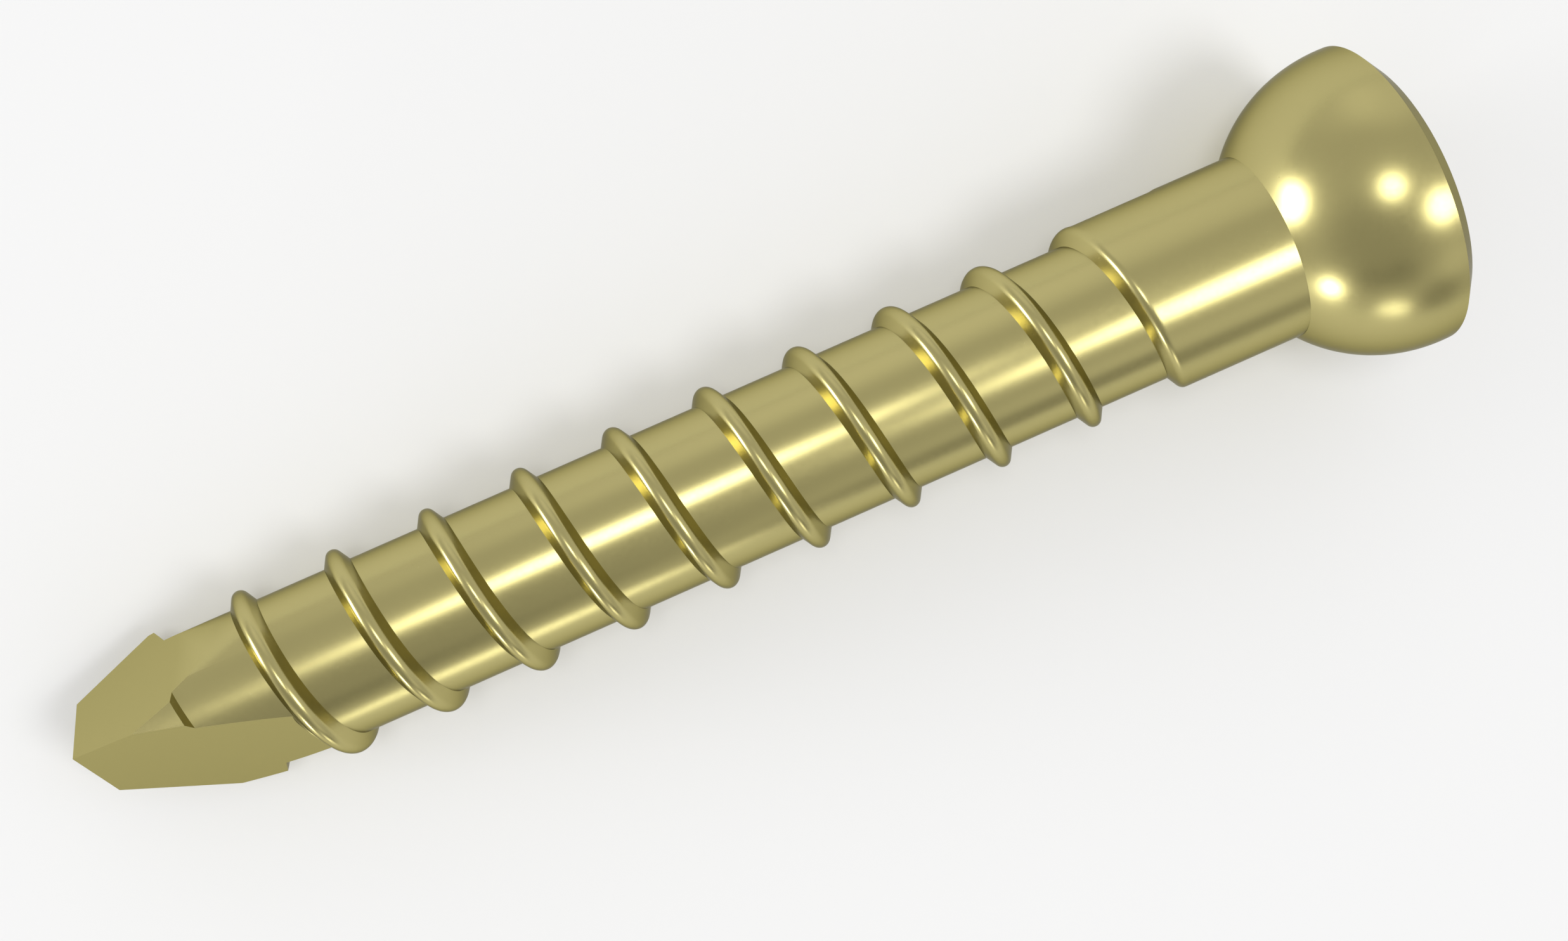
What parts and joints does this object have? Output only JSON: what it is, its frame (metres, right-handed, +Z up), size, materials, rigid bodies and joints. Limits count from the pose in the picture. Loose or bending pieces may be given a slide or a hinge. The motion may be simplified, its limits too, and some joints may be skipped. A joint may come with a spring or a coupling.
{
  "type": "interlocking bolt",
  "caption": "Self-tapping interlocking bolt for an intramedullary nail: coarse thread with a ground three-flat cutting tip, plain neck, ball head with chamfered rim and hexagon recess.",
  "frame": {"origin": "middle of the underside of the bounding box, on the surface that the bolt lies on", "axes": "+X runs along the bolt from the cutting tip to the head, level with the surface; +Z is up; the bolt's own axis rises slightly towards the head, because the head is wider than the thread"},
  "size_m": [0.0358, 0.008, 0.008],
  "materials": {
    "bolt_metal": "gold-anodised light metal, satin polish"
  },
  "bodies": {
    "root": {"interlocking_bolt": "bolt_metal"}
  },
  "joints": []
}
